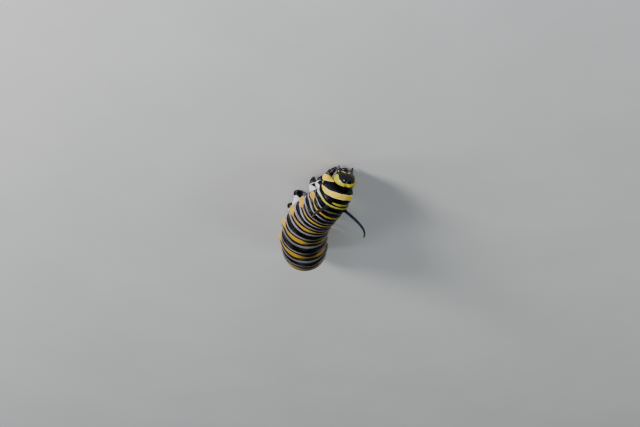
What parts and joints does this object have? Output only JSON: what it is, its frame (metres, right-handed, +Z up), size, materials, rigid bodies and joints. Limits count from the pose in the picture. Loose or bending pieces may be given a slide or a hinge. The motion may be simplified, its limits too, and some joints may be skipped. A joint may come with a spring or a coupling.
{
  "type": "monarch larva",
  "caption": "Still, life-size monarch larva with a banded body, black head, legs, false legs and two pairs of back feelers, standing with its front half turned.",
  "frame": {"origin": "middle of the model's outline on the floor it stands on", "axes": "-Y the way the animal faces, +X its left side, +Z up from the floor"},
  "size_m": [0.0133, 0.0332, 0.0123],
  "materials": {
    "banded_skin": "soft satin skin; the black, white and yellow bands are in the looks",
    "black_skin": "satin black skin",
    "black_horn": "glossy black horn"
  },
  "bodies": {
    "root": {"abdomen_1": "banded_skin", "abdomen_10": "banded_skin", "abdomen_2": "banded_skin", "abdomen_3": "banded_skin", "abdomen_4": "banded_skin", "abdomen_5": "banded_skin", "abdomen_6": "banded_skin", "abdomen_7": "banded_skin", "abdomen_8": "banded_skin", "abdomen_9": "banded_skin", "antenna_left": "black_horn", "antenna_right": "black_horn", "clasper_left": "black_skin", "clasper_right": "black_skin", "head": "black_horn", "labium": "black_horn", "labrum": "black_horn", "leg_1_left": "black_horn", "leg_1_right": "black_horn", "leg_2_left": "black_horn", "leg_2_right": "black_horn", "leg_3_left": "black_horn", "leg_3_right": "black_horn", "mandible_left": "black_horn", "mandible_right": "black_horn", "proleg_3_left": "black_skin", "proleg_3_right": "black_skin", "proleg_4_left": "black_skin", "proleg_4_right": "black_skin", "proleg_5_left": "black_skin", "proleg_5_right": "black_skin", "proleg_6_left": "black_skin", "proleg_6_right": "black_skin", "tentacle_front_left_1": "black_skin", "tentacle_front_left_2": "black_skin", "tentacle_front_left_3": "black_skin", "tentacle_front_right_1": "black_skin", "tentacle_front_right_2": "black_skin", "tentacle_front_right_3": "black_skin", "tentacle_rear_left_1": "black_skin", "tentacle_rear_left_2": "black_skin", "tentacle_rear_right_1": "black_skin", "tentacle_rear_right_2": "black_skin", "thorax_1": "banded_skin", "thorax_2": "banded_skin", "thorax_3": "banded_skin"}
  },
  "joints": []
}
